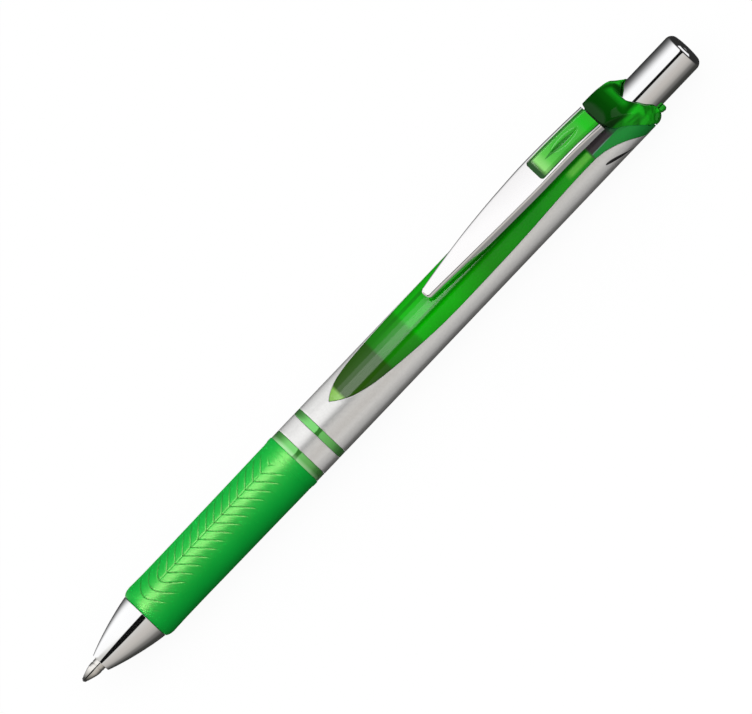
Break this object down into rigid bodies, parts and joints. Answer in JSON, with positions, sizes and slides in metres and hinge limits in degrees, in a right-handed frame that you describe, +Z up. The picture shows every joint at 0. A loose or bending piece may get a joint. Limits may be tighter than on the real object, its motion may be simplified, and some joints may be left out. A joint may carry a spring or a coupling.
{
  "type": "gel pen",
  "caption": "Retractable gel pen: chrome nose cone, ribbed green rubber grip, silver barrel with a green window, sprung chrome clip, chrome knock and a removable refill.",
  "frame": {"origin": "on the surface that the pen lies on, under the middle of its length; the pen lies on the rims of its grip and collar with the clip straight up", "axes": "+X along the pen from the writing ball to the knock, +Z up towards the clip, +Y across the pen"},
  "size_m": [0.145, 0.0106, 0.0142],
  "materials": {
    "writing_ball": "polished hard ball",
    "point_metal": "turned stainless point",
    "holder_plastic": "moulded natural plastic",
    "refill_tube": "clear extruded tube",
    "ink": "dark green gel ink",
    "follower": "pale clear grease",
    "tail_plastic": "moulded natural plastic",
    "spring_steel": "drawn spring wire",
    "cone_chrome": "bright plated, mirror polish",
    "barrel_green": "translucent green moulding, polished",
    "silver_band": "satin silver",
    "silver_sleeve": "satin silver with a soft sheen",
    "grip_rubber": "soft green rubber with fine chevron ribs",
    "clip_chrome": "bright plated, mirror polish",
    "inlay_green": "translucent green moulding",
    "collar_green": "dark translucent green moulding, polished",
    "knock_chrome": "bright plated, mirror polish",
    "cam_plastic": "grey moulded acetal",
    "rotor_plastic": "green moulded acetal",
    "guide_plastic": "green moulded plastic"
  },
  "bodies": {
    "barrel": {"inner_barrel": "barrel_green", "barrel_sleeve": "silver_sleeve", "lower_band": "silver_band", "grip_sleeve": "grip_rubber", "top_collar": "collar_green", "cam_guide": "guide_plastic", "return_spring": "spring_steel"},
    "nose": {"nose_cone": "cone_chrome"},
    "refill": {"refill_point": "point_metal", "refill_tip_holder": "holder_plastic", "refill_tube": "refill_tube", "ink_column": "ink", "ink_follower": "follower", "refill_tail_plug": "tail_plastic"},
    "ball": {"writing_ball": "writing_ball"},
    "rotor": {"rotor_cam": "rotor_plastic"},
    "knock": {"knock_button": "knock_chrome", "knock_plunger": "cam_plastic"},
    "clip_arm": {"clip": "clip_chrome", "clip_inlay": "inlay_green"}
  },
  "joints": [
    {"name": "knock_slide", "type": "slide", "parent": "barrel", "child": "knock", "axis": [1, 0, 0], "range_m": [-0.0012, 0.0052]},
    {"name": "refill_slide", "type": "slide", "parent": "barrel", "child": "refill", "axis": [1, 0, 0], "range_m": [-0.0013, 0.0053], "deforming": ["return_spring"]},
    {"name": "rotor_turn", "type": "hinge", "parent": "refill", "child": "rotor", "pos_m": [0.0405, 0, 0.00535], "axis": [1, 0, 0], "range_deg": [-10.6, 45.6]},
    {"name": "nose_unscrew", "type": "slide", "parent": "barrel", "child": "nose", "axis": [-1, 0, 0], "range_m": [0, 0.012]},
    {"name": "clip_flex", "type": "hinge", "parent": "barrel", "child": "clip_arm", "pos_m": [0.0545, 0, 0.01097], "axis": [0, 1, 0], "range_deg": [0, 4], "stiffness_Nm_per_rad": 2, "springref_deg": -2.86},
    {"name": "ball_roll", "type": "hinge", "parent": "refill", "child": "ball", "pos_m": [-0.07215, 0, 0.00535], "axis": [0, 1, 0], "continuous": true}
  ],
  "couplings": [
    {"joint": "refill_slide", "follows": "knock_slide", "ratio": 1},
    {"joint": "rotor_turn", "follows": "knock_slide", "rad_per_m": 151.04}
  ]
}
